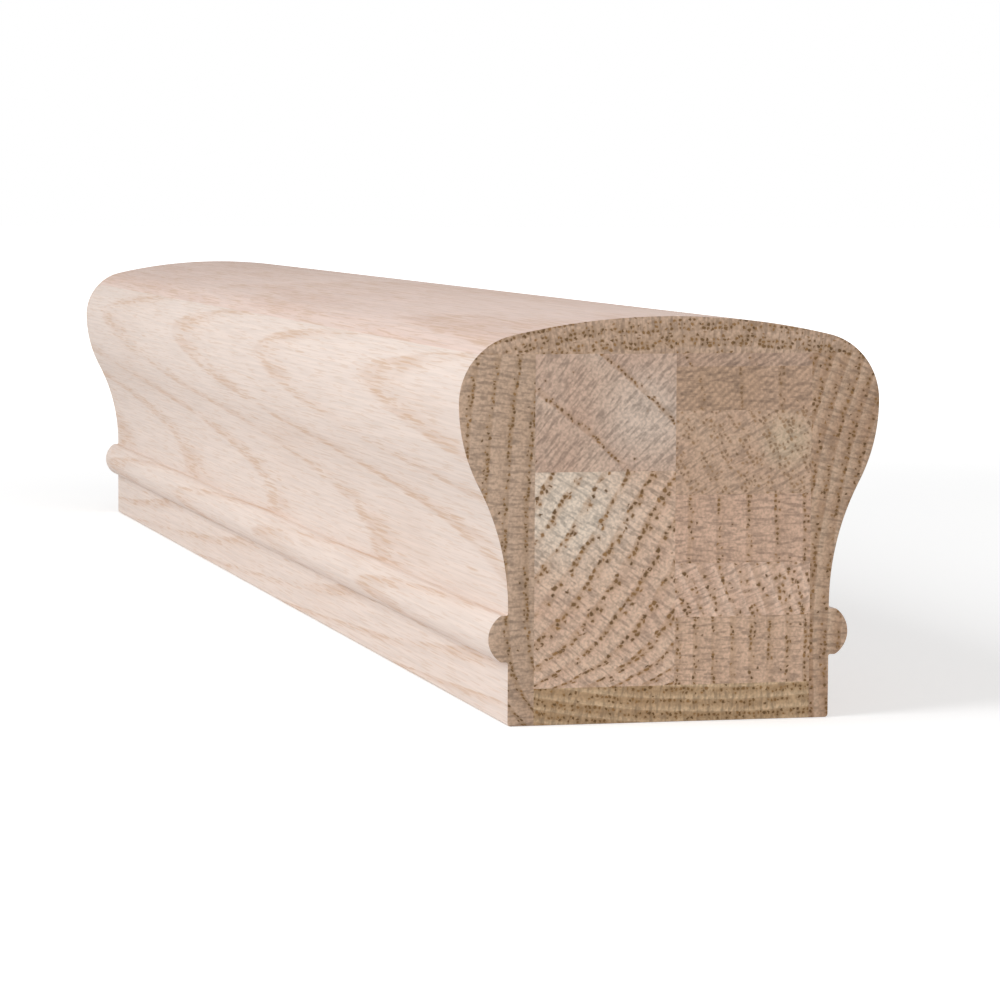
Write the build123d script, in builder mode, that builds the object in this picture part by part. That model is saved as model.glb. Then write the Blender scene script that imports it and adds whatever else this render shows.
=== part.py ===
from build123d import *
from itertools import pairwise
import math
import os

# Straight length of laminated oak stair handrail, sawn square at both ends.
# Sawn strips are glued up in two columns, the core. A base facing, two side facings and
# a top facing are glued around them, and the block is moulded to the rail's section.
# Millimetres. +Z is up, the length lies along Y and the section is symmetric about X = 0.
# The origin is the middle of the underside.

# Moulded section
rail_length = 406.4
rail_height = 65.0
grip_width = 69.85
crown_radius = 118.0
shoulder_radius = 11.0  # rounds the crown over into the sides
recess_depth = 8.15  # how far the hollows under the grip go in from its full width
hollow_share = 0.6  # share of the side's sweep that is hollow; the rest is round
neck_height = 0.8  # upright part between the bead and the hollow
bead_level = 10.2  # underside of the bead, over the upright foot
bead_height = 7.5
bead_projection = 3.2
bead_bow = 2.1  # how far the bead's round face swells between its corners
bead_corner_radius = 0.8
bead_root_radius = 0.3
arris_radius = 0.5  # eased lower edges

# Facings, glued around the core
top_facing_thickness = 6.0  # at the crown
base_facing_thickness = 5.9
left_facing_thickness = 4.3  # at the foot
right_facing_thickness = 3.3  # at the foot

# Core, with the strips of each column numbered from the base up
left_column_width = 23.2  # the right column fills the rest of the width
left_strip_2 = 18.7  # left strip 1 fills the rest of the height
right_strip_1 = 10.9
right_strip_2 = 8.6
right_strip_3 = 11.0
right_strip_5 = 7.0  # right strip 4 fills the rest of the height
right_strip_6 = 2.1  # planed thin when the core was brought to height

# Section, worked out from the sizes above
grip_half = grip_width / 2
foot_half = grip_half - recess_depth
bead_top = bead_level + bead_height
bead_face = foot_half + bead_projection
bead_swell = min(bead_bow, 0.8 * bead_projection, 0.45 * bead_height)
bead_ledge = bead_projection - bead_swell
bead_corner = min(bead_corner_radius, 0.8 * bead_ledge, 0.4 * bead_height)
bead_root = min(bead_root_radius, 0.8 * neck_height, 0.3 * bead_ledge)

# The shoulder touches the crown from inside and is upright at the grip's widest level.
shoulder_centre = grip_half - shoulder_radius
crown_centre = rail_height - crown_radius
grip_level = crown_centre + math.sqrt((crown_radius - shoulder_radius) ** 2 - shoulder_centre**2)
shoulder_turn = math.degrees(math.atan2(grip_level - crown_centre, shoulder_centre))

# The side sweeps up from the neck in two equal turns, hollow and then round.
hollow_level = bead_top + neck_height
sweep_height = grip_level - hollow_level
sweep_turn = 2 * math.degrees(math.atan2(recess_depth, sweep_height))
sweep_radii = (recess_depth**2 + sweep_height**2) / (2 * recess_depth)
hollow_radius = hollow_share * sweep_radii
round_radius = sweep_radii - hollow_radius

# Glue planes
core_left = left_facing_thickness - foot_half
core_joint = core_left + left_column_width
core_right = foot_half - right_facing_thickness
core_bottom = base_facing_thickness
core_top = rail_height - top_facing_thickness
left_strip_levels = (core_bottom, core_top - left_strip_2, core_top)
right_strip_levels = (
    core_bottom,
    core_bottom + right_strip_1,
    core_bottom + right_strip_1 + right_strip_2,
    core_bottom + right_strip_1 + right_strip_2 + right_strip_3,
    core_top - right_strip_6 - right_strip_5,
    core_top - right_strip_6,
    core_top,
)
outside = grip_width  # clear of the rail on any side

# The whole section, with the rail's width across and its height up
with BuildSketch() as section:
    with BuildLine():
        Polyline((foot_half, 0), (foot_half, bead_level), (foot_half + bead_ledge, bead_level))
        ThreePointArc(
            (foot_half + bead_ledge, bead_level),
            (bead_face, bead_level + bead_height / 2),
            (foot_half + bead_ledge, bead_top),
        )
        Polyline((foot_half + bead_ledge, bead_top), (foot_half, bead_top), (foot_half, hollow_level))
        hollow = JernArc((foot_half, hollow_level), (0, 1), hollow_radius, -sweep_turn)
        swell = JernArc(hollow @ 1, hollow % 1, round_radius, sweep_turn)
        shoulder = JernArc(swell @ 1, (0, 1), shoulder_radius, shoulder_turn)
        mirror(about=Plane.YZ)
        crown_end = shoulder @ 1
        ThreePointArc(crown_end, (0, rail_height), (-crown_end.X, crown_end.Y))
        Line((-foot_half, 0), (foot_half, 0))
    make_face()
    bead_points = section.vertices().filter_by_position(Axis.Y, bead_level / 2, (bead_top + hollow_level) / 2)
    roots, corners = bead_points.group_by(lambda point: abs(point.X))
    fillet(corners, bead_corner)
    fillet(roots, bead_root)
    fillet(section.vertices().group_by(Axis.Y)[0], arris_radius)


def board(name, left, right, bottom, top):
    """One board of the glue-up: what the moulded section leaves of it between four planes."""
    with BuildPart() as piece:
        with BuildSketch(Plane.XZ.offset(-rail_length / 2)):
            add(section.sketch)
            with Locations(((left + right) / 2, (bottom + top) / 2)):
                Rectangle(right - left, top - bottom, mode=Mode.INTERSECT)
        extrude(amount=rail_length)
    piece.part.label = name
    export_step(piece.part, f"parts/{name}.step")


def core_column(name, left, right, levels):
    """Strips of one column, each from one glue level to the next."""
    for number, (bottom, top) in enumerate(pairwise(levels), start=1):
        board(f"{name}_{number}", left, right, bottom, top)


os.makedirs("parts", exist_ok=True)

board("top_facing", -outside, outside, core_top, rail_height + outside)
board("left_facing", -outside, core_left, -outside, core_top)
board("right_facing", core_right, outside, -outside, core_top)
board("base_facing", core_left, core_right, -outside, core_bottom)
core_column("left_core_strip", core_left, core_joint, left_strip_levels)
core_column("right_core_strip", core_joint, core_right, right_strip_levels)
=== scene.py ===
import math

import bmesh
import bpy
from bpy.props import (
    CollectionProperty,
    FloatProperty,
    FloatVectorProperty,
    PointerProperty,
    StringProperty,
)
from mathutils import Matrix, Vector


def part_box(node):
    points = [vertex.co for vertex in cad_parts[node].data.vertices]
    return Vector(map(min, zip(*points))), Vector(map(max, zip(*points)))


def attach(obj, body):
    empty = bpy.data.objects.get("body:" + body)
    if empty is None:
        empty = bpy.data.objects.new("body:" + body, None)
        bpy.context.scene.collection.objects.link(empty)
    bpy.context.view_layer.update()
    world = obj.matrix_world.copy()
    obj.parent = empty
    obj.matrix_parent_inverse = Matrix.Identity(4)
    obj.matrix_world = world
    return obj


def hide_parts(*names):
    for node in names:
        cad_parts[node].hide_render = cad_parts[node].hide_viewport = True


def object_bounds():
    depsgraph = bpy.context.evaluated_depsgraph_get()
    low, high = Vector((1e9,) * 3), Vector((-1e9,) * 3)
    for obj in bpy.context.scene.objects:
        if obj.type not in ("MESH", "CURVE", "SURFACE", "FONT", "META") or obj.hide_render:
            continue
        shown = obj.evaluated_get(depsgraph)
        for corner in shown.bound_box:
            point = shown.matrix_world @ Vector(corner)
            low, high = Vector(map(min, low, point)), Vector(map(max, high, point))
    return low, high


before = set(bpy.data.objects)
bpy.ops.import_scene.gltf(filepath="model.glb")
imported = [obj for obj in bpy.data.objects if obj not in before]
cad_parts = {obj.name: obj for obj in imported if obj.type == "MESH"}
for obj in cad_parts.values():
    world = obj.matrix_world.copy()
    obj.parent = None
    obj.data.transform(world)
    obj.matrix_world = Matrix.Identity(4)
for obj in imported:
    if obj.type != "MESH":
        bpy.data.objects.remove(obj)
cad_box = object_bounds()

bl_info = {
    "name": "Laminated Oak Handrail",
    "version": (1, 0, 0),
    "blender": (4, 5, 0),
    "location": "3D View > Sidebar > Handrail",
    "description": "Boards, oak grain and studio of a glued-up stair handrail",
    "category": "Object",
}

MM = 0.001
TOUCH = 1e-6  # metres; points and planes this close are one
END_FACING = 0.9  # a face whose normal lies this much along the rail is a sawn end
ROUND_ANGLE = math.radians(25)  # faces that meet at less than this look round
rail_low, rail_high = cad_box
grip_half = rail_high.x
rail_height = rail_high.z
near_end = rail_low.y
rail_length = rail_high.y - rail_low.y

# Names of the core's strips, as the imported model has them
LEFT_CORE = ("left_core_strip_1", "left_core_strip_2")
RIGHT_CORE = tuple(f"right_core_strip_{number}" for number in range(1, 7))

# How each board was cut from its log, and its tones, in the units that OakBoard describes.
# Millimetres in the rail's section: pith is where the log's heart lies, first_ring the
# distance of a row of pores from it, and lean how it drifts back from the near end.
BOARDS = {
    "top_facing": {
        "pith": (6.0, -74.0), "first_ring": 134.0, "ring_width": 2.5, "wander": 0.7,
        "lean": (0.0, 0.012), "pore_zone": 1.1, "pore_share": 0.75, "pore_spacing": 0.74, "saw": 0.5,
        "end_pale": (0.52, 0.365, 0.265), "end_deep": (0.4, 0.27, 0.185),
        "face_pale": (0.75, 0.6, 0.535), "face_deep": (0.68, 0.5, 0.425),
    },
    "left_facing": {
        "pith": (180.0, 27.0), "first_ring": 206.9, "ring_width": 3.45, "wander": 0.25,
        "lean": (-0.034, 0.0), "curl": 0.0011, "curl_level": 17.0,
        "pore_zone": 0.15, "pore_share": 1.0, "pore_spacing": 0.64, "pore_size": 0.44,
        "end_pale": (0.49, 0.35, 0.255), "end_deep": (0.435, 0.3, 0.21),
    },
    "right_facing": {
        "pith": (154.0, 12.0), "first_ring": 130.0, "ring_width": 2.4, "wander": 0.6,
        "lean": (0.03, 0.0), "pore_zone": 0.4, "pore_share": 0.9, "pore_spacing": 0.74,
        "end_pale": (0.53, 0.378, 0.268), "end_deep": (0.42, 0.27, 0.18),
    },
    "base_facing": {
        "pith": (11.0, 182.0), "first_ring": 176.6, "ring_width": 1.95, "wander": 0.35,
        "pore_zone": 0.5, "pore_share": 1.0, "pore_spacing": 0.7,
        "end_pale": (0.59, 0.43, 0.275), "end_deep": (0.42, 0.28, 0.165),
    },
    "left_core_strip_1": {
        "pith": (-134.0, 107.0), "first_ring": 139.2, "ring_width": 3.6, "wander": 1.2,
        "curl": 0.003, "curl_level": 17.5,
        "pore_zone": 0.34, "pore_share": 1.0, "pore_spacing": 0.95, "pore_size": 0.43,
        "end_pale": (0.64, 0.465, 0.345), "end_deep": (0.57, 0.39, 0.29),
        "patch": (-17.0, 35.0), "patch_radius": 12.0, "patch_tone": (0.68, 0.57, 0.465),
    },
    "left_core_strip_2": {
        "pith": (-83.5, -34.0), "first_ring": 106.0, "ring_width": 10.94, "wander": 0.4,
        "pore_zone": 0.05, "pore_share": 0.9, "saw": 0.3,
        "end_pale": (0.557, 0.413, 0.322), "end_deep": (0.495, 0.335, 0.252),
        "patch": (-4.0, 49.0), "patch_radius": 8.0, "patch_tone": (0.585, 0.46, 0.375),
    },
    "right_core_strip_1": {
        "pith": (-150.0, 12.0), "first_ring": 157.0, "ring_width": 3.1, "wander": 0.5,
        "pore_zone": 0.26, "pore_share": 0.8,
        "end_pale": (0.6, 0.415, 0.3), "end_deep": (0.5, 0.34, 0.24),
    },
    "right_core_strip_2": {
        "pith": (-99.0, -24.7), "first_ring": 120.0, "ring_width": 2.6, "wander": 0.8,
        "pore_zone": 0.6, "pore_share": 0.7, "pore_spacing": 0.85,
        "end_pale": (0.684, 0.497, 0.38), "end_deep": (0.585, 0.4, 0.3),
    },
    "right_core_strip_3": {
        "pith": (-250.0, 31.0), "first_ring": 252.8, "ring_width": 4.8, "wander": 0.5,
        "pore_zone": 0.15, "pore_share": 0.85,
        "end_pale": (0.587, 0.4, 0.295), "end_deep": (0.505, 0.335, 0.24),
    },
    "right_core_strip_4": {
        "pith": (-75.6, -9.0), "first_ring": 98.4, "ring_width": 3.7, "wander": 0.9,
        "pore_zone": 1.0, "pore_share": 0.6, "pore_spacing": 0.72, "pore_depth": 0.6,
        "end_pale": (0.573, 0.413, 0.297), "end_deep": (0.49, 0.33, 0.235),
        "patch": (19.5, 45.0), "patch_radius": 4.5, "patch_tone": (0.55, 0.42, 0.3),
    },
    "right_core_strip_5": {
        "pith": (-60.0, 53.0), "first_ring": 64.5, "ring_width": 6.65, "wander": 0.5,
        "pore_zone": 0.12, "pore_share": 0.75, "pore_depth": 0.6, "saw": 1.0,
        "end_pale": (0.462, 0.312, 0.22), "end_deep": (0.42, 0.275, 0.186),
        "patch": (7.0, 53.0), "patch_radius": 8.0, "patch_tone": (0.42, 0.28, 0.19),
    },
    "right_core_strip_6": {
        "pith": (-60.0, 20.0), "first_ring": 82.0, "ring_width": 9.0, "wander": 0.5,
        "pore_zone": 0.03, "pore_share": 0.3, "saw": 1.0,
        "end_pale": (0.468, 0.325, 0.242), "end_deep": (0.415, 0.277, 0.2),
    },
}


class MouldedSection(bpy.types.PropertyGroup):
    """Sizes of the moulded section that the overall box doesn't give."""

    recess_depth: FloatProperty(
        name="Recess Depth", description="How far the hollows go in from the full width",
        default=8.15 * MM, unit="LENGTH", precision=5,
    )
    crown_radius: FloatProperty(
        name="Crown Radius", description="Radius of the arc across the top",
        default=118 * MM, unit="LENGTH", precision=5,
    )
    shoulder_radius: FloatProperty(
        name="Shoulder Radius", description="Radius from the crown over into the sides",
        default=11 * MM, unit="LENGTH", precision=5,
    )
    hollow_share: FloatProperty(
        name="Hollow Share", description="Share of the side's sweep that is hollow, the rest is round",
        default=0.6, min=0.1, max=0.9, subtype="FACTOR",
    )
    neck_height: FloatProperty(
        name="Neck Height", description="Upright part between the bead and the hollow",
        default=0.8 * MM, unit="LENGTH", precision=5,
    )
    bead_level: FloatProperty(
        name="Bead Level", description="Height of the bead's underside",
        default=10.2 * MM, unit="LENGTH", precision=5,
    )
    bead_height: FloatProperty(
        name="Bead Height", description="Height of the bead",
        default=7.5 * MM, unit="LENGTH", precision=5,
    )
    bead_projection: FloatProperty(
        name="Bead Projection", description="How far the bead stands out from the foot",
        default=3.2 * MM, unit="LENGTH", precision=5,
    )
    bead_bow: FloatProperty(
        name="Bead Bow", description="How far the bead's face swells between its corners",
        default=2.1 * MM, unit="LENGTH", precision=5,
    )
    bead_corner: FloatProperty(
        name="Bead Corner", description="Radius of the bead's corners",
        default=0.8 * MM, unit="LENGTH", precision=5,
    )
    bead_root: FloatProperty(
        name="Bead Root", description="Radius where the bead meets the rail",
        default=0.3 * MM, unit="LENGTH", precision=5,
    )
    arris: FloatProperty(
        name="Arris", description="Radius of the eased lower edges",
        default=0.5 * MM, unit="LENGTH", precision=5,
    )
    facet: FloatProperty(
        name="Facet", description="Length of a step along the section's arcs",
        default=0.5 * MM, unit="LENGTH", precision=5,
    )
    sawn_edge: FloatProperty(
        name="Sawn Edge", description="Bevel that the saw and handling leave around the ends",
        default=0.12 * MM, unit="LENGTH", precision=5,
    )


class OakBoard(bpy.types.PropertyGroup):
    """One board's place in its log, its pores and its tones, with lengths in millimetres."""

    node: StringProperty(
        name="Board", description="Name of the board in the packed model", default="",
    )
    pith: FloatVectorProperty(
        name="Pith", description="Where the log's heart lies in the rail's section",
        size=2, default=(-100.0, 30.0),
    )
    lean: FloatVectorProperty(
        name="Lean", description="Drift of the heart, per millimetre along the rail",
        size=2, default=(0.0, 0.0), precision=4,
    )
    first_ring: FloatProperty(
        name="First Ring", description="Distance of a row of pores from the heart", default=100.0,
    )
    ring_width: FloatProperty(
        name="Ring Width", description="One year's growth", default=3.0,
    )
    wander: FloatProperty(
        name="Wander", description="How far the rings stray from true circles", default=0.5,
    )
    curl: FloatProperty(
        name="Curl", description="How fast the rings flatten out below the curl level", default=0.0,
    )
    curl_level: FloatProperty(
        name="Curl Level", description="Height below which the rings flatten out", default=0.0,
    )
    pore_zone: FloatProperty(
        name="Pore Zone", description="Share of a ring that holds large pores",
        default=0.2, subtype="FACTOR",
    )
    pore_share: FloatProperty(
        name="Pore Share", description="How many places in that zone hold a pore",
        default=0.8, subtype="FACTOR",
    )
    pore_size: FloatProperty(
        name="Pore Size", description="Radius of the large pores over their spacing", default=0.4,
    )
    pore_spacing: FloatProperty(
        name="Pore Spacing", description="From one large pore to the next", default=0.7,
    )
    pore_length: FloatProperty(
        name="Pore Length", description="Length of a pore along the grain", default=17.0,
    )
    pore_depth: FloatProperty(
        name="Pore Depth", description="How dark the pores show on the ends",
        default=0.92, subtype="FACTOR",
    )
    saw: FloatProperty(
        name="Saw Marks", description="How plainly the saw's arcs show on the ends",
        default=0.15, subtype="FACTOR",
    )
    patch: FloatVectorProperty(
        name="Patch", description="Middle of a patch of other tone, in the section",
        size=2, default=(0.0, 0.0),
    )
    patch_radius: FloatProperty(
        name="Patch Radius", description="Radius of that patch, or 0 for none", default=0.0,
    )
    patch_tone: FloatVectorProperty(
        name="Patch Tone", description="Tone of that patch on the sawn ends", size=3, subtype="COLOR",
        default=(0.5, 0.4, 0.3),
    )
    end_pale: FloatVectorProperty(
        name="End Pale", description="Tone of the late wood on the sawn ends", size=3, subtype="COLOR",
        default=(0.5, 0.36, 0.27),
    )
    end_deep: FloatVectorProperty(
        name="End Deep", description="Tone of the early wood on the sawn ends", size=3, subtype="COLOR",
        default=(0.42, 0.28, 0.2),
    )
    face_pale: FloatVectorProperty(
        name="Face Pale", description="Tone of the late wood on the moulded faces", size=3, subtype="COLOR",
        default=(0.75, 0.638, 0.573),
    )
    face_deep: FloatVectorProperty(
        name="Face Deep", description="Tone of the early wood on the moulded faces", size=3, subtype="COLOR",
        default=(0.68, 0.532, 0.448),
    )


class OakFinish(bpy.types.PropertyGroup):
    """Pore tones, shine and relief that all the boards share."""

    face_pore: FloatVectorProperty(
        name="Face Pore", description="Open pores along the moulded faces", size=3, subtype="COLOR",
        default=(0.6, 0.42, 0.3),
    )
    end_pore: FloatVectorProperty(
        name="End Pore", description="Open pores on the sawn ends", size=3, subtype="COLOR",
        default=(0.17, 0.092, 0.034),
    )
    roughness: FloatProperty(
        name="Roughness", description="Roughness of the bare wood", default=0.72, subtype="FACTOR",
    )
    specular: FloatProperty(
        name="Specular", description="How much the bare wood shines", default=0.25, subtype="FACTOR",
    )
    end_relief: FloatProperty(
        name="End Relief", description="How plainly the sawn ends' relief shows",
        default=0.25, subtype="FACTOR",
    )
    face_relief: FloatProperty(
        name="Face Relief", description="How plainly the moulded faces' relief shows",
        default=0.12, subtype="FACTOR",
    )
    relief_depth: FloatProperty(
        name="Relief Depth", description="Depth of the open pores",
        default=0.1 * MM, unit="LENGTH", precision=5,
    )


class Studio(bpy.types.PropertyGroup):
    """Camera and light."""

    camera_place: FloatVectorProperty(
        name="Camera", description="Where the camera stands", size=3, subtype="TRANSLATION", precision=5,
        default=(-0.17907, -0.79577, 0.08634),
    )
    camera_yaw: FloatProperty(
        name="Yaw", description="Camera's turn to the right of the rail's length",
        default=math.radians(14.288), subtype="ANGLE",
    )
    camera_dip: FloatProperty(
        name="Dip", description="Camera's tilt below the horizon",
        default=math.radians(4.701), subtype="ANGLE",
    )
    camera_roll: FloatProperty(
        name="Roll", description="Camera's turn about its own view",
        default=math.radians(-0.3), subtype="ANGLE",
    )
    sensor: FloatProperty(
        name="Sensor", description="Width of the camera's sensor, in millimetres", default=36.0,
    )
    lens: FloatProperty(
        name="Lens", description="Focal length, in millimetres", default=140.13,
    )
    key_place: FloatVectorProperty(
        name="Key Lamp", description="Where the large lamp on the left hangs",
        size=3, subtype="TRANSLATION", default=(-1.5, -0.35, 1.0),
    )
    key_size: FloatProperty(
        name="Key Size", description="Side of the large lamp", default=1.2, unit="LENGTH",
    )
    key_power: FloatProperty(
        name="Key Power", description="Power of the large lamp", default=21.0, unit="POWER",
    )
    fill_place: FloatVectorProperty(
        name="Fill Lamp", description="Where the lamp behind the camera hangs",
        size=3, subtype="TRANSLATION", default=(0.3, -1.8, 0.9),
    )
    fill_size: FloatProperty(
        name="Fill Size", description="Side of the lamp behind the camera", default=1.4, unit="LENGTH",
    )
    fill_power: FloatProperty(
        name="Fill Power", description="Power of the lamp behind the camera",
        default=8.0, unit="POWER",
    )
    sky: FloatProperty(
        name="Sky", description="Strength of the even light all around", default=0.45,
    )
    paper_size: FloatProperty(
        name="Paper Size", description="Side of the sheet under the rail", default=12.0, unit="LENGTH",
    )
    paper_lift: FloatProperty(
        name="Paper Lift", description="Glow that brings the lit paper by the rail up to white",
        default=0.35,
    )


class HandrailSettings(bpy.types.PropertyGroup):
    """Everything that shapes and finishes the handrail."""

    section: PointerProperty(type=MouldedSection)
    finish: PointerProperty(type=OakFinish)
    studio: PointerProperty(type=Studio)
    boards: CollectionProperty(type=OakBoard)


class SectionPen:
    """Draws the section in edit mode, by extruding and spinning one selected point."""

    fewest_steps = 4  # along the smallest arcs

    def __init__(self, name, facet):
        bpy.ops.object.select_all(action="DESELECT")
        bpy.ops.mesh.primitive_plane_add(size=facet)
        bpy.context.object.name = name
        bpy.ops.object.mode_set(mode="EDIT")
        bpy.ops.mesh.select_mode(type="VERT")
        bpy.ops.mesh.select_all(action="SELECT")
        bpy.ops.mesh.merge(type="CENTER")
        bpy.ops.transform.translate(value=(0, near_end, 0))
        self.facet = facet
        self.place = Vector((0, near_end, 0))
        self.heading = 0.0

    def forward(self):
        return Vector((math.cos(self.heading), 0, math.sin(self.heading)))

    def run(self, length):
        """Straight stretch."""
        step = self.forward() * length
        bpy.ops.mesh.extrude_region_move(TRANSFORM_OT_translate={"value": step})
        self.place += step

    def turn(self, radius, angle):
        """Arc that turns left by a positive angle and right by a negative one."""
        side = math.copysign(1, angle)
        ahead = self.forward()
        centre = self.place + Vector((-ahead.z, 0, ahead.x)) * radius * side
        steps = max(self.fewest_steps, round(radius * abs(angle) / self.facet))
        bpy.ops.mesh.spin(steps=steps, angle=angle, center=centre, axis=(0, 1, 0))
        out = self.place - centre
        cos, sin = math.cos(angle), math.sin(angle)
        self.place = centre + Vector((out.x * cos - out.z * sin, 0, out.x * sin + out.z * cos))
        self.heading += angle


def mould_blank(section):
    """The glued-up block after the moulder: the whole section, as long as the rail."""
    foot_half = grip_half - section.recess_depth
    half_bead = section.bead_height / 2
    bead_top = section.bead_level + section.bead_height

    # Bead: its face is one arc, tangent to both corners
    face_radius = (half_bead**2 + section.bead_bow**2) / (2 * section.bead_bow)
    corner = section.bead_corner
    face_turn = math.asin((half_bead - corner) / (face_radius - corner))
    corner_inset = face_radius - (face_radius - corner) * math.cos(face_turn)
    ledge = section.bead_projection - corner_inset - section.bead_root

    # Crown and shoulder: the shoulder touches the crown from inside
    shoulder_centre = grip_half - section.shoulder_radius
    crown_rise = math.sqrt((section.crown_radius - section.shoulder_radius) ** 2 - shoulder_centre**2)
    grip_level = rail_height - section.crown_radius + crown_rise
    shoulder_turn = math.atan2(crown_rise, shoulder_centre)

    # Side: hollow and round, both upright where they end
    hollow_level = bead_top + section.neck_height
    sweep_height = grip_level - hollow_level
    sweep_turn = 2 * math.atan2(section.recess_depth, sweep_height)
    sweep_radii = (section.recess_depth**2 + sweep_height**2) / (2 * section.recess_depth)
    hollow_radius = section.hollow_share * sweep_radii

    quarter = math.pi / 2
    pen = SectionPen("moulded_blank", section.facet)
    pen.run(foot_half - section.arris)
    pen.turn(section.arris, quarter)
    pen.run(section.bead_level - section.arris - section.bead_root)
    pen.turn(section.bead_root, -quarter)
    pen.run(ledge)
    pen.turn(corner, quarter - face_turn)
    pen.turn(face_radius, 2 * face_turn)
    pen.turn(corner, quarter - face_turn)
    pen.run(ledge)
    pen.turn(section.bead_root, -quarter)
    pen.run(section.neck_height - section.bead_root)
    pen.turn(hollow_radius, -sweep_turn)
    pen.turn(sweep_radii - hollow_radius, sweep_turn)
    pen.turn(section.shoulder_radius, shoulder_turn)
    pen.turn(section.crown_radius, quarter - shoulder_turn)
    bpy.ops.object.mode_set(mode="OBJECT")

    blank = bpy.context.object
    mirror = blank.modifiers.new("Other Half", "MIRROR")
    mirror.merge_threshold = TOUCH
    bpy.ops.object.modifier_apply(modifier=mirror.name)
    bpy.ops.object.mode_set(mode="EDIT")
    bpy.ops.mesh.select_all(action="SELECT")
    bpy.ops.mesh.remove_doubles(threshold=TOUCH)
    bpy.ops.mesh.edge_face_add()
    bpy.ops.mesh.extrude_region_move(TRANSFORM_OT_translate={"value": (0, rail_length, 0)})
    bpy.ops.mesh.select_all(action="SELECT")
    bpy.ops.mesh.normals_make_consistent(inside=False)
    bpy.ops.object.mode_set(mode="OBJECT")
    return blank


def glue_planes(node):
    """Glue planes of a board: each a point on it and the direction out of the board."""
    low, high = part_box(node)
    core_low, core_high = core_box()
    left, right = Vector((-1, 0, 0)), Vector((1, 0, 0))
    down, up = Vector((0, 0, -1)), Vector((0, 0, 1))
    planes = {
        "top_facing": [(core_high, down)],
        "left_facing": [(core_low, right), (core_high, up)],
        "right_facing": [(core_high, left), (core_high, up)],
        "base_facing": [(low, left), (high, right), (core_low, up)],
    }
    return planes.get(node, [(low, left), (high, right), (low, down), (high, up)])


def core_box():
    """Corners of the core, which the facings are glued around."""
    corners = [corner for node in LEFT_CORE + RIGHT_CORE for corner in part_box(node)]
    low = Vector([min(corner[axis] for corner in corners) for axis in range(3)])
    high = Vector([max(corner[axis] for corner in corners) for axis in range(3)])
    return low, high


def cut_board(blank, node, sawn_edge):
    """Cuts one board out of a copy of the moulded block, along its glue planes."""
    bpy.ops.object.select_all(action="DESELECT")
    blank.select_set(True)
    bpy.context.view_layer.objects.active = blank
    bpy.ops.object.duplicate()
    board = bpy.context.object
    board.name = node + "_oak"
    board.data.name = board.name

    planes = glue_planes(node)
    bpy.ops.object.mode_set(mode="EDIT")
    for point, out in planes:
        bpy.ops.mesh.select_all(action="SELECT")
        bpy.ops.mesh.bisect(
            plane_co=point, plane_no=out, use_fill=True, clear_outer=True, threshold=TOUCH / 10
        )
    bpy.ops.mesh.select_all(action="SELECT")
    bpy.ops.mesh.normals_make_consistent(inside=False)
    ease_sawn_ends(board, planes, sawn_edge)
    mark_sawn_ends(board)
    bpy.ops.object.mode_set(mode="OBJECT")
    bpy.ops.object.shade_smooth_by_angle(angle=ROUND_ANGLE)
    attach(board, "root")
    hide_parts(node)
    return board


def ease_sawn_ends(board, planes, sawn_edge):
    """Bevels the edges that the saw left between an end and the moulded surface."""
    mesh = bmesh.from_edit_mesh(board.data)
    bpy.ops.mesh.select_all(action="DESELECT")
    found = False
    for edge in mesh.edges:
        sides = [face for face in edge.link_faces if abs(face.normal.y) <= END_FACING]
        if len(edge.link_faces) != 2 or len(sides) != 1:
            continue
        middle = sides[0].calc_center_median()
        if any(abs((middle - point).dot(out)) < TOUCH for point, out in planes):
            continue
        edge.select = True
        found = True
    bmesh.update_edit_mesh(board.data)
    if found:
        bpy.ops.mesh.select_mode(type="EDGE")
        bpy.ops.mesh.bevel(offset=sawn_edge, segments=2, affect="EDGES", clamp_overlap=True)


def mark_sawn_ends(board):
    """Gives the end faces the second material slot."""
    mesh = bmesh.from_edit_mesh(board.data)
    for face in mesh.faces:
        face.material_index = 1 if abs(face.normal.y) > END_FACING else 0
    bmesh.update_edit_mesh(board.data)


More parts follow.
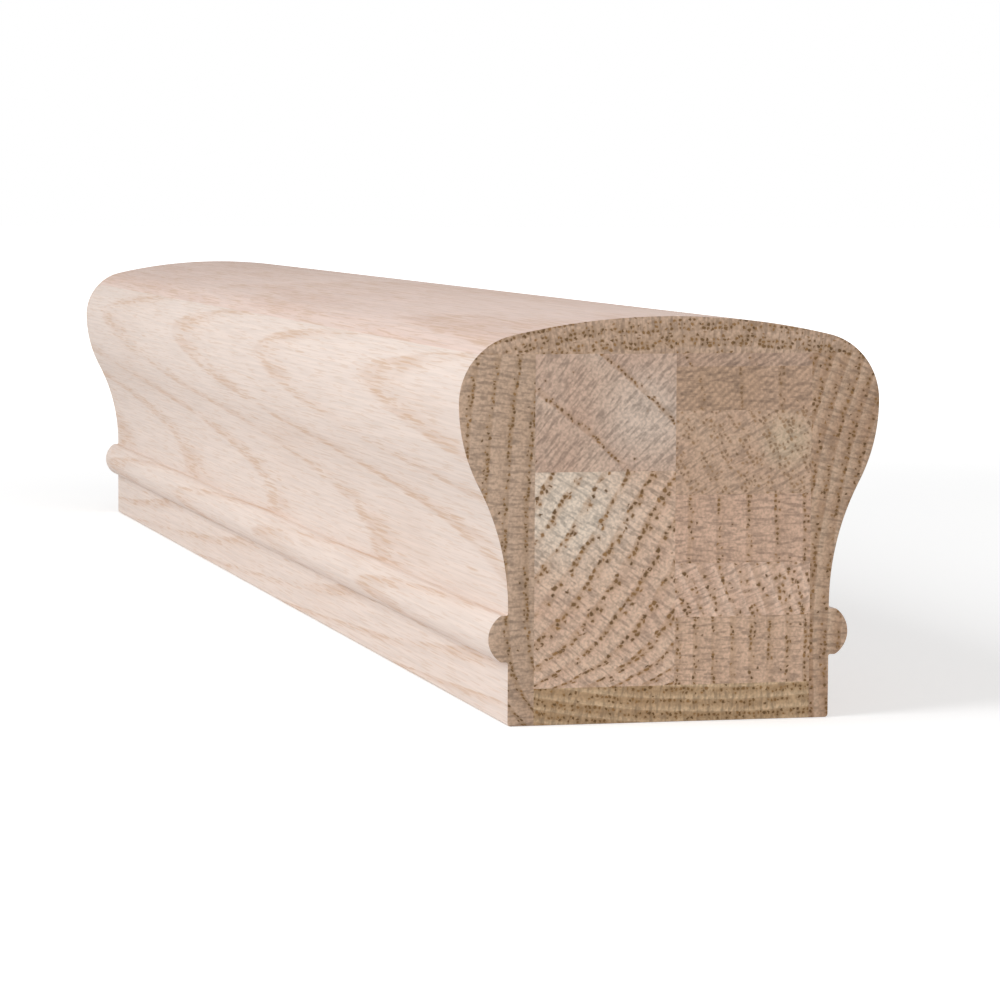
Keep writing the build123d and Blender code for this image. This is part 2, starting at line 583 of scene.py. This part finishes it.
class Wiring:
    """Shorthand for adding nodes to a tree and joining them."""

    def __init__(self, tree):
        self.tree = tree

    def join(self, value, socket):
        if isinstance(value, bpy.types.NodeSocket):
            self.tree.links.new(value, socket)
        elif value is not None:
            socket.default_value = value

    def node(self, kind, inputs=None, **settings):
        made = self.tree.nodes.new(kind)
        for name, value in settings.items():
            setattr(made, name, value)
        for name, value in (inputs or {}).items():
            self.join(value, made.inputs[name])
        return made

    def math(self, operation, *values, clamp=False):
        made = self.node("ShaderNodeMath", operation=operation, use_clamp=clamp)
        for value, socket in zip(values, made.inputs):
            self.join(value, socket)
        return made.outputs[0]

    def vector(self, operation, *values, out="Vector"):
        made = self.node("ShaderNodeVectorMath", operation=operation)
        for value, socket in zip(values, made.inputs):
            self.join(value, socket)
        return made.outputs[out]

    def scale(self, vector, factor):
        made = self.node("ShaderNodeVectorMath", operation="SCALE")
        self.join(vector, made.inputs[0])
        self.join(factor, made.inputs["Scale"])
        return made.outputs[0]

    def combine(self, x, y, z):
        return self.node("ShaderNodeCombineXYZ", {"X": x, "Y": y, "Z": z}).outputs[0]

    def split(self, vector):
        return self.node("ShaderNodeSeparateXYZ", {"Vector": vector}).outputs

    def ramp(self, value, low, high, to_low=0.0, to_high=1.0):
        """Smooth step of a value from low to high."""
        made = self.node(
            "ShaderNodeMapRange",
            {"Value": value, "From Min": low, "From Max": high, "To Min": to_low, "To Max": to_high},
            interpolation_type="SMOOTHSTEP",
        )
        return made.outputs["Result"]

    def noise(self, vector, detail=1.0, roughness=0.5, out="Fac"):
        made = self.node(
            "ShaderNodeTexNoise",
            {"Vector": vector, "Scale": 1.0, "Detail": detail, "Roughness": roughness},
        )
        return made.outputs[out]

    def pattern(self, place, rate, **settings):
        """Noise that changes at the given rate across, along and up the rail."""
        return self.noise(self.vector("MULTIPLY", place, rate), **settings)

    def mix(self, factor, first, second):
        made = self.node("ShaderNodeMix", data_type="RGBA")
        self.join(factor, made.inputs["Factor"])
        self.join(first, made.inputs["A"])
        self.join(second, made.inputs["B"])
        return made.outputs["Result"]


def new_group(name, inputs, outputs):
    """Empty shader group with named sockets; returns its wiring, input and output nodes."""
    kinds = {"value": "NodeSocketFloat", "vector": "NodeSocketVector", "colour": "NodeSocketColor"}
    tree = bpy.data.node_groups.new(name, "ShaderNodeTree")
    for socket, kind in inputs.items():
        tree.interface.new_socket(socket, in_out="INPUT", socket_type=kinds[kind])
    for socket, kind in outputs.items():
        tree.interface.new_socket(socket, in_out="OUTPUT", socket_type=kinds[kind])
    wiring = Wiring(tree)
    return wiring, wiring.node("NodeGroupInput").outputs, wiring.node("NodeGroupOutput").inputs


def ring_inputs():
    """Sockets that place a board in its log."""
    names = (
        "Pith X", "Pith Z", "Lean X", "Lean Z",
        "First Ring", "Ring Width", "Wander", "Curl", "Curl Level",
    )
    return dict.fromkeys(names, "value")


# Rates of the patterns, in changes per millimetre across, along and up the rail
BROAD_STRAY = (0.06, 0.007, 0.06)
CLOSE_STRAY = (0.3, 0.02, 0.3)
PORE_JOG = (2.2, 0.05, 2.2)
PORE_CLUMPS = (0.35, 0.01, 0.35)
END_CLOUDS = (0.14, 0.01, 0.14)
END_FUZZ = (2.2, 0.1, 2.2)
FACE_CLOUDS = (0.07, 0.012, 0.07)
FACE_BLOTCHES = (0.35, 0.05, 0.35)
FACE_STREAKS = (2.4, 0.04, 2.4)
FACE_DASHES = (3.4, 0.1, 3.4)

# Rows of pores, in spacings from pore to pore
ROW_INSET = 0.35  # how far the first row sits inside its ring
YEAR_SHIFT = 17.3  # slides each year's rows along, clear of the last year's
JOG_REACH = (0.5, 0.9, 0.0)  # how far pores stray across and along their row
PORE_SCATTER = 0.7
PORE_TAPER = 4.0  # how sharply a pore closes at its two ends
NARROWEST_ZONE = 1.25
LONE_PORES = 0.015  # share of places outside the zone that hold a pore

# Saw blade that cut the ends: its middle in the section, and its marks' waves per millimetre
BLADE_MIDDLE = (190.0, 0.0, -150.0)
BLADE_RATE = 7.0
BLADE_TONE = 0.11


def make_rings_group():
    """Growth rings round a heart that may lean along the rail. Millimetres."""
    made, given, result = new_group(
        "oak rings",
        {"Place": "vector", **ring_inputs()},
        {"Phase": "value", "Year": "value", "Radius": "value", "Around": "value"},
    )
    place = made.split(given["Place"])
    back = made.math("SUBTRACT", place["Y"], near_end / MM)
    across = {}
    for axis in "XZ":
        heart = made.math("MULTIPLY_ADD", back, given[f"Lean {axis}"], given[f"Pith {axis}"])
        across[axis] = made.math("SUBTRACT", place[axis], heart)
    radius = made.vector("LENGTH", made.combine(across["X"], 0, across["Z"]), out="Value")

    # Turn about the heart, counted from the line that joins it to the rail's middle
    ahead_x = made.math("MULTIPLY", given["Pith X"], -1.0)
    ahead_z = made.math("SUBTRACT", rail_height / MM / 2, given["Pith Z"])
    along = made.math("MULTIPLY", ahead_z, across["Z"])
    along = made.math("MULTIPLY_ADD", ahead_x, across["X"], along)
    aside = made.math("MULTIPLY", made.math("MULTIPLY", ahead_z, across["X"]), -1.0)
    aside = made.math("MULTIPLY_ADD", ahead_x, across["Z"], aside)
    angle = made.math("ARCTAN2", aside, along)

    # Rings stray from true circles, by a broad pattern and a share of a close one. Middle is
    # about what the two add up to where a ring doesn't stray.
    close_share, middle, reach = 0.35, 0.67, 2.0
    broad = made.pattern(given["Place"], BROAD_STRAY)
    close = made.pattern(given["Place"], CLOSE_STRAY)
    stray = made.math("MULTIPLY_ADD", close, close_share, broad)
    stray = made.math("MULTIPLY", made.math("SUBTRACT", stray, middle), given["Wander"])
    below = made.math("MAXIMUM", made.math("SUBTRACT", given["Curl Level"], place["Z"]), 0.0)
    curled = made.math("MULTIPLY_ADD", made.math("POWER", below, 3.0), given["Curl"], radius)
    strayed = made.math("MULTIPLY_ADD", stray, reach, curled)

    grown = made.math("SUBTRACT", strayed, given["First Ring"])
    ring = made.math("DIVIDE", grown, given["Ring Width"])
    made.join(made.math("FRACT", ring), result["Phase"])
    made.join(made.math("FLOOR", ring), result["Year"])
    made.join(radius, result["Radius"])
    made.join(made.math("MULTIPLY", angle, given["First Ring"]), result["Around"])
    return made.tree


def make_pores_group():
    """Large pores of the early wood: long cells in rows along the rings."""
    made, given, result = new_group(
        "oak pores",
        {
            "Place": "vector", "Phase": "value", "Year": "value", "Around": "value",
            "Ring Width": "value", "Spacing": "value", "Length": "value",
            "Pore Size": "value", "Pore Zone": "value", "Pore Share": "value",
        },
        {"Pore": "value", "Rim": "value", "Age": "value", "Early": "value"},
    )
    in_ring = made.math("MULTIPLY", given["Phase"], given["Ring Width"])
    row = made.math("SUBTRACT", made.math("DIVIDE", in_ring, given["Spacing"]), ROW_INSET)
    along_row = made.math("DIVIDE", given["Around"], given["Spacing"])
    along_row = made.math("MULTIPLY_ADD", given["Year"], YEAR_SHIFT, along_row)
    along_grain = made.math("DIVIDE", made.split(given["Place"])["Y"], given["Length"])
    rough = made.pattern(given["Place"], PORE_JOG, out="Color")
    jog = made.vector("MULTIPLY", made.vector("SUBTRACT", rough, (0.5, 0.5, 0.5)), JOG_REACH)
    spot = made.vector("ADD", made.combine(row, along_row, along_grain), jog)
    cells = made.node(
        "ShaderNodeTexVoronoi",
        {"Vector": spot, "Scale": 1.0, "Randomness": PORE_SCATTER},
        feature="F1",
    ).outputs
    centre = made.split(cells["Position"])
    chance = made.split(cells["Color"])

    # Each pore is round across the grain and tapers only towards its two ends
    off = made.split(made.vector("SUBTRACT", spot, cells["Position"]))
    across = made.vector("LENGTH", made.combine(off["X"], off["Y"], 0), out="Value")
    taper = made.math("POWER", made.math("ABSOLUTE", off["Z"]), 4.0)
    across = made.math("MULTIPLY_ADD", taper, PORE_TAPER, across)

    # The zone of pores is wider in some years than in others
    luck = made.node("ShaderNodeTexWhiteNoise", {"W": given["Year"]}, noise_dimensions="1D")
    luck = made.math("MULTIPLY_ADD", luck.outputs["Value"], 0.7, 0.65)
    zone = made.math("MULTIPLY", given["Pore Zone"], luck)
    zone = made.math("MULTIPLY", zone, given["Ring Width"])
    zone = made.math("MAXIMUM", zone, made.math("MULTIPLY", given["Spacing"], NARROWEST_ZONE))

    # Pores crowd at the ring's start, in clumps, and thin out over the rest of the zone
    depth = made.math("DIVIDE", made.math("MULTIPLY", centre["X"], given["Spacing"]), zone)
    thinned = made.math("POWER", made.math("MAXIMUM", depth, 0.0), 2.0)
    thinned = made.math("SUBTRACT", 1.0, thinned)
    clump = made.pattern(given["Place"], PORE_CLUMPS)
    share = made.ramp(clump, 0.3, 0.6, to_low=0.75, to_high=1.35)
    share = made.math("MULTIPLY", given["Pore Share"], share)
    kept = made.math("LESS_THAN", chance["X"], made.math("MULTIPLY", share, thinned))
    kept = made.math("MULTIPLY", kept, made.math("GREATER_THAN", centre["X"], 0.0))
    kept = made.math("MAXIMUM", kept, made.math("LESS_THAN", chance["Y"], LONE_PORES))

    # Pores differ in size, and those deeper in the zone are smaller
    shrink = made.math("MULTIPLY_ADD", made.math("MINIMUM", depth, 1.0), -0.3, 1.0)
    size = made.math("MULTIPLY", made.math("MULTIPLY_ADD", chance["Z"], 0.5, 0.72), shrink)
    edge = made.math("MULTIPLY_ADD", size, made.math("MULTIPLY", given["Pore Size"], -1.0), across)
    made.join(made.math("MULTIPLY", made.ramp(edge, 0.13, -0.13), kept), result["Pore"])
    made.join(made.math("MULTIPLY", made.ramp(edge, 0.5, 0.0), kept), result["Rim"])
    made.join(chance["Y"], result["Age"])

    # The early wood between those pores is a browner band
    band_end = made.math("ADD", zone, given["Spacing"])
    band = made.ramp(in_ring, band_end, made.math("MULTIPLY", band_end, 0.35))
    start = made.ramp(in_ring, 0.0, made.math("MULTIPLY", given["Spacing"], 0.4))
    band = made.math("MULTIPLY", band, start)
    band = made.math("MULTIPLY", band, made.ramp(clump, 0.3, 0.62, to_low=0.25))
    made.join(made.math("MULTIPLY", band, given["Pore Share"]), result["Early"])
    return made.tree


def make_end_group():
    """Tone and relief of a sawn end: rings, rays and saw marks."""
    made, given, result = new_group(
        "oak sawn end",
        {
            "Place": "vector", "Phase": "value", "Radius": "value", "Around": "value",
            "Pore": "value", "Rim": "value", "Age": "value", "Early": "value",
            "Pore Zone": "value", "Pore Depth": "value", "Saw Marks": "value",
            "Patch": "vector", "Patch Radius": "value",
            "Pale": "colour", "Deep": "colour", "Patch Tone": "colour", "Pore Tone": "colour",
        },
        {"Colour": "colour", "Height": "value"},
    )
    place = made.split(given["Place"])

    # Late wood pales towards the end of its year, and in clouds
    late = made.ramp(given["Phase"], given["Pore Zone"], 1.0, to_high=0.5)
    cloud = made.pattern(given["Place"], END_CLOUDS, detail=2.0)
    paled = made.math("ADD", late, made.ramp(cloud, 0.3, 0.7, to_high=0.5))
    tone = made.mix(paled, given["Deep"], given["Pale"])

    # A patch of another tone, with an uneven edge
    section = made.vector("MULTIPLY", given["Place"], (1, 0, 1))
    off_patch = made.vector("DISTANCE", section, given["Patch"], out="Value")
    unevenness = made.math("MULTIPLY", given["Patch Radius"], 0.6)
    off_patch = made.math("MULTIPLY_ADD", cloud, unevenness, off_patch)
    outer = made.math("MULTIPLY", given["Patch Radius"], 1.7)
    inner = made.math("MULTIPLY", given["Patch Radius"], 0.5)
    tone = made.mix(made.ramp(off_patch, outer, inner), tone, given["Patch Tone"])

    # Rays: short fine lines that run out from the heart, and the torn cells between them
    ray_place = made.combine(
        made.math("MULTIPLY", given["Around"], 1.7),
        made.math("MULTIPLY", place["Y"], 0.02),
        made.math("MULTIPLY", given["Radius"], 0.36),
    )
    rays = made.noise(ray_place)
    tone = made.scale(tone, made.ramp(rays, 0.34, 0.54, to_low=0.75, to_high=1.08))
    fuzz = made.pattern(given["Place"], END_FUZZ)
    tone = made.scale(tone, made.ramp(fuzz, 0.3, 0.7, to_low=0.85, to_high=1.15))

    # Arcs of a large saw blade
    blade = made.vector("DISTANCE", section, BLADE_MIDDLE, out="Value")
    waves = made.math("MULTIPLY_ADD", cloud, 6.0, made.math("MULTIPLY", blade, BLADE_RATE))
    waves = made.math("SINE", waves)
    marks = made.math("MULTIPLY", made.math("MULTIPLY", waves, given["Saw Marks"]), BLADE_TONE)
    tone = made.scale(tone, made.math("ADD", marks, 1.0))

    # Early wood is an ochre brown, deepest around each pore
    ochre = made.vector("MULTIPLY", given["Deep"], (0.8, 0.74, 0.6))
    around_pore = made.math("MULTIPLY", given["Early"], 0.45)
    around_pore = made.math("MULTIPLY_ADD", given["Rim"], 0.35, around_pore)
    tone = made.mix(made.math("MULTIPLY", around_pore, given["Pore Depth"]), tone, ochre)
    age = made.math("MULTIPLY_ADD", given["Age"], 1.1, 0.6)
    open_pore = made.scale(given["Pore Tone"], age)
    tone = made.mix(made.math("MULTIPLY", given["Pore"], given["Pore Depth"]), tone, open_pore)
    made.join(tone, result["Colour"])
    height = made.math("MULTIPLY_ADD", given["Pore"], -1.0, made.math("MULTIPLY", fuzz, 0.4))
    made.join(height, result["Height"])
    return made.tree


def make_face_group():
    """Tone and relief of a moulded face along the grain."""
    made, given, result = new_group(
        "oak moulded face",
        {
            "Place": "vector", "Early": "value", "Pore": "value",
            "Pale": "colour", "Deep": "colour", "Pore Tone": "colour",
        },
        {"Colour": "colour", "Height": "value"},
    )
    cloud = made.pattern(given["Place"], FACE_CLOUDS, detail=2.0)
    blotch = made.pattern(given["Place"], FACE_BLOTCHES, detail=2.0)
    streak = made.pattern(given["Place"], FACE_STREAKS, detail=2.0, roughness=0.6)
    banded = made.ramp(blotch, 0.3, 0.6, to_low=0.35, to_high=0.9)
    banded = made.math("MULTIPLY", given["Early"], banded)
    tone = made.mix(banded, given["Pale"], given["Deep"])
    tone = made.mix(made.ramp(cloud, 0.5, 0.75, to_high=0.3), tone, given["Deep"])
    tone = made.scale(tone, made.ramp(streak, 0.3, 0.7, to_low=0.93, to_high=1.035))

    # Fine vessels: short thin dashes everywhere, plainest in the early wood
    dashes = made.ramp(made.pattern(given["Place"], FACE_DASHES), 0.57, 0.64)
    dashes = made.math("MULTIPLY", dashes, made.math("MULTIPLY_ADD", given["Early"], 0.5, 0.3))
    tone = made.mix(dashes, tone, given["Pore Tone"])
    tone = made.mix(made.math("MULTIPLY", given["Pore"], 0.62), tone, given["Pore Tone"])
    made.join(tone, result["Colour"])
    height = made.math("MULTIPLY_ADD", given["Pore"], -1.0, made.math("MULTIPLY", streak, 0.5))
    made.join(height, result["Height"])
    return made.tree


GROUP_MAKERS = {
    "oak rings": make_rings_group,
    "oak pores": make_pores_group,
    "oak sawn end": make_end_group,
    "oak moulded face": make_face_group,
}


def oak_group(name):
    """A shared shader group, made the first time that it is asked for."""
    if name not in bpy.data.node_groups:
        GROUP_MAKERS[name]()
    return bpy.data.node_groups[name]


def oak_material(board, finish, sawn):
    """One board's oak, either as its sawn ends or as its moulded faces show it."""
    material = bpy.data.materials.new(board.node + (" sawn end" if sawn else " moulded face"))
    material.use_nodes = True
    material.node_tree.nodes.clear()
    made = Wiring(material.node_tree)
    place = made.scale(made.node("ShaderNodeTexCoord").outputs["Object"], 1 / MM)

    log = {
        "Place": place,
        "Pith X": board.pith[0], "Pith Z": board.pith[1],
        "Lean X": board.lean[0], "Lean Z": board.lean[1],
        "First Ring": board.first_ring, "Ring Width": board.ring_width, "Wander": board.wander,
        "Curl": board.curl, "Curl Level": board.curl_level,
    }
    rings = made.node("ShaderNodeGroup", log, node_tree=oak_group("oak rings"))

    # The moulder's knives open a pore by less than its whole width
    width_shown = 1.0 if sawn else 0.7
    sizes = {
        "Place": place, "Ring Width": board.ring_width,
        "Spacing": board.pore_spacing, "Length": board.pore_length,
        "Pore Size": board.pore_size * width_shown,
        "Pore Zone": board.pore_zone, "Pore Share": board.pore_share,
    }
    for name in ("Phase", "Year", "Around"):
        sizes[name] = rings.outputs[name]
    pores = made.node("ShaderNodeGroup", sizes, node_tree=oak_group("oak pores"))

    tones = {
        "Place": place,
        "Pale": (*(board.end_pale if sawn else board.face_pale), 1),
        "Deep": (*(board.end_deep if sawn else board.face_deep), 1),
        "Pore Tone": (*(finish.end_pore if sawn else finish.face_pore), 1),
    }
    if sawn:
        tones["Pore Zone"] = board.pore_zone
        tones["Pore Depth"] = board.pore_depth
        tones["Saw Marks"] = board.saw
        tones["Patch"] = (board.patch[0], 0, board.patch[1])
        tones["Patch Radius"] = board.patch_radius
        tones["Patch Tone"] = (*board.patch_tone, 1)
    surface = made.node(
        "ShaderNodeGroup", tones, node_tree=oak_group("oak sawn end" if sawn else "oak moulded face")
    )
    for source in (rings, pores):
        for socket in source.outputs:
            if socket.name in surface.inputs:
                made.join(socket, surface.inputs[socket.name])

    relief = made.node(
        "ShaderNodeBump",
        {
            "Height": surface.outputs["Height"],
            "Strength": finish.end_relief if sawn else finish.face_relief,
            "Distance": finish.relief_depth,
        },
    )
    shader = made.node(
        "ShaderNodeBsdfPrincipled",
        {
            "Base Color": surface.outputs["Colour"],
            "Normal": relief.outputs["Normal"],
            "Roughness": finish.roughness,
            "Specular IOR Level": finish.specular,
        },
    )
    output = made.node("ShaderNodeOutputMaterial")
    made.join(shader.outputs["BSDF"], output.inputs["Surface"])
    return material


def cut_boards(context, nodes):
    """Moulds a blank and cuts the named boards out of it."""
    settings = context.scene.handrail
    blank = mould_blank(settings.section)
    for node in nodes:
        board = settings.boards.get(node)
        if board is None:
            raise RuntimeError(f"{node} isn't in the list of boards")
        piece = cut_board(blank, node, settings.section.sawn_edge)
        piece.data.materials.append(oak_material(board, settings.finish, sawn=False))
        piece.data.materials.append(oak_material(board, settings.finish, sawn=True))
    bpy.data.objects.remove(blank)


class HANDRAIL_OT_board_list(bpy.types.Operator):
    """Fill the list of boards with the ones that the rail is glued up from"""

    bl_idname = "handrail.board_list"
    bl_label = "Board List"

    def execute(self, context):
        boards = context.scene.handrail.boards
        boards.clear()
        for node, values in BOARDS.items():
            board = boards.add()
            board.name = node
            board.node = node
            for field, value in values.items():
                setattr(board, field, value)
        return {"FINISHED"}


class HANDRAIL_OT_top_facing(bpy.types.Operator):
    """Cut the board that carries the crown"""

    bl_idname = "handrail.top_facing"
    bl_label = "Top Facing"

    def execute(self, context):
        cut_boards(context, ["top_facing"])
        return {"FINISHED"}


class HANDRAIL_OT_side_facings(bpy.types.Operator):
    """Cut the two side boards, with their hollows and beads"""

    bl_idname = "handrail.side_facings"
    bl_label = "Side Facings"

    def execute(self, context):
        cut_boards(context, ["left_facing", "right_facing"])
        return {"FINISHED"}


class HANDRAIL_OT_base_facing(bpy.types.Operator):
    """Cut the thin board on the underside"""

    bl_idname = "handrail.base_facing"
    bl_label = "Base Facing"

    def execute(self, context):
        cut_boards(context, ["base_facing"])
        return {"FINISHED"}


class HANDRAIL_OT_core(bpy.types.Operator):
    """Cut the strips of both core columns"""

    bl_idname = "handrail.core"
    bl_label = "Core Strips"

    def execute(self, context):
        cut_boards(context, LEFT_CORE + RIGHT_CORE)
        return {"FINISHED"}


def area_lamp(name, place, aim, size, power):
    """Soft square lamp that points at aim."""
    bpy.ops.object.light_add(type="AREA", location=place)
    lamp = bpy.context.object
    lamp.name = name
    lamp.rotation_euler = (Vector(aim) - Vector(place)).to_track_quat("-Z", "Y").to_euler()
    lamp.data.shape = "SQUARE"
    lamp.data.size = size
    lamp.data.energy = power
    return lamp


def seen_directly(made):
    """1 for rays that show a thing to the camera, straight or by reflection, and 0 for its light."""
    path = made.node("ShaderNodeLightPath").outputs
    seen = made.math("ADD", path["Is Camera Ray"], path["Is Glossy Ray"])
    return made.math("ADD", seen, path["Is Transmission Ray"], clamp=True)


def paper_floor(studio):
    """Wide sheet of white paper that the rail stands on, just clear of its underside."""
    gap = 0.05 * MM
    bpy.ops.mesh.primitive_plane_add(size=studio.paper_size, location=(0, 0, rail_low.z - gap))
    floor = bpy.context.object
    floor.name = "paper_floor"
    material = bpy.data.materials.new("white paper")
    material.use_nodes = True
    material.node_tree.nodes.clear()
    made = Wiring(material.node_tree)
    paper = {"Base Color": (0.86, 0.86, 0.86, 1), "Roughness": 0.9, "Specular IOR Level": 0.0}
    shader = made.node("ShaderNodeBsdfPrincipled", paper)

    # The glow rises to full white between these distances from the rail's middle, in metres
    near_glow, far_glow = 0.3, 1.0
    away = made.vector("LENGTH", made.node("ShaderNodeTexCoord").outputs["Object"], out="Value")
    lift = made.ramp(away, near_glow, far_glow, to_low=studio.paper_lift, to_high=1.0)
    strength = made.math("MULTIPLY", lift, seen_directly(made))
    glow = made.node("ShaderNodeEmission", {"Strength": strength})
    both = made.node("ShaderNodeAddShader")
    made.join(shader.outputs["BSDF"], both.inputs[0])
    made.join(glow.outputs["Emission"], both.inputs[1])
    made.join(both.outputs[0], made.node("ShaderNodeOutputMaterial").inputs["Surface"])
    floor.data.materials.append(material)


def white_world(studio):
    """White for the camera and reflections, softer as light."""
    world = bpy.data.worlds.new("white studio")
    bpy.context.scene.world = world
    world.use_nodes = True
    world.node_tree.nodes.clear()
    made = Wiring(world.node_tree)
    levels = {"Factor": seen_directly(made), "A": studio.sky, "B": 1.0}
    strength = made.node("ShaderNodeMix", levels, data_type="FLOAT").outputs["Result"]
    glow = made.node("ShaderNodeBackground", {"Color": (1, 1, 1, 1), "Strength": strength})
    made.join(glow.outputs["Background"], made.node("ShaderNodeOutputWorld").inputs["Surface"])


def aim_camera(studio):
    """Camera at its place, turned, dipped and rolled."""
    yaw, dip, roll = studio.camera_yaw, studio.camera_dip, studio.camera_roll
    view = Vector((math.sin(yaw) * math.cos(dip), math.cos(yaw) * math.cos(dip), -math.sin(dip)))
    right = Vector((math.cos(yaw), -math.sin(yaw), 0))
    down = view.cross(right)
    rolled_right = math.cos(roll) * right + math.sin(roll) * down
    rolled_down = math.cos(roll) * down - math.sin(roll) * right
    bpy.ops.object.camera_add()
    camera = bpy.context.object
    camera.name = "studio_camera"
    turned = Matrix((rolled_right, -rolled_down, -view)).transposed()
    camera.matrix_world = Matrix.Translation(studio.camera_place) @ turned.to_4x4()
    camera.data.sensor_width = studio.sensor
    camera.data.lens = studio.lens
    camera.data.clip_start = 10 * MM
    bpy.context.scene.camera = camera


class HANDRAIL_OT_studio(bpy.types.Operator):
    """Make the floor, the light and the camera"""

    bl_idname = "handrail.studio"
    bl_label = "Studio"

    def execute(self, context):
        studio = context.scene.handrail.studio
        paper_floor(studio)
        white_world(studio)
        middle = (0, 0, rail_height / 2)
        area_lamp("key_lamp", studio.key_place, middle, studio.key_size, studio.key_power)
        area_lamp("fill_lamp", studio.fill_place, middle, studio.fill_size, studio.fill_power)
        aim_camera(studio)
        context.scene.view_settings.view_transform = "Standard"
        return {"FINISHED"}


class HANDRAIL_PT_panel(bpy.types.Panel):
    """Sizes, boards and steps of the handrail"""

    bl_label = "Handrail"
    bl_idname = "HANDRAIL_PT_panel"
    bl_space_type = "VIEW_3D"
    bl_region_type = "UI"
    bl_category = "Handrail"

    def draw(self, context):
        settings = context.scene.handrail
        groups = {"Section": settings.section, "Finish": settings.finish, "Studio": settings.studio}
        for title, group in groups.items():
            box = self.layout.box()
            box.label(text=title)
            for field in group.bl_rna.properties:
                if field.identifier not in {"rna_type", "name"}:
                    box.prop(group, field.identifier)
        for board in settings.boards:
            box = self.layout.box()
            box.label(text=board.node)
            for field in ("first_ring", "ring_width", "pore_zone", "end_pale", "end_deep"):
                box.prop(board, field)
        for operator in OPERATORS:
            self.layout.operator(operator.bl_idname)


OPERATORS = (
    HANDRAIL_OT_board_list,
    HANDRAIL_OT_top_facing,
    HANDRAIL_OT_side_facings,
    HANDRAIL_OT_base_facing,
    HANDRAIL_OT_core,
    HANDRAIL_OT_studio,
)
CLASSES = (MouldedSection, OakBoard, OakFinish, Studio, HandrailSettings, *OPERATORS, HANDRAIL_PT_panel)


def register():
    for cls in CLASSES:
        bpy.utils.register_class(cls)
    bpy.types.Scene.handrail = PointerProperty(type=HandrailSettings)


def unregister():
    del bpy.types.Scene.handrail
    for cls in reversed(CLASSES):
        bpy.utils.unregister_class(cls)


def main():
    register()
    bpy.ops.handrail.board_list()
    bpy.ops.handrail.top_facing()
    bpy.ops.handrail.side_facings()
    bpy.ops.handrail.base_facing()
    bpy.ops.handrail.core()
    bpy.ops.handrail.studio()


if __name__ == "__main__":
    main()
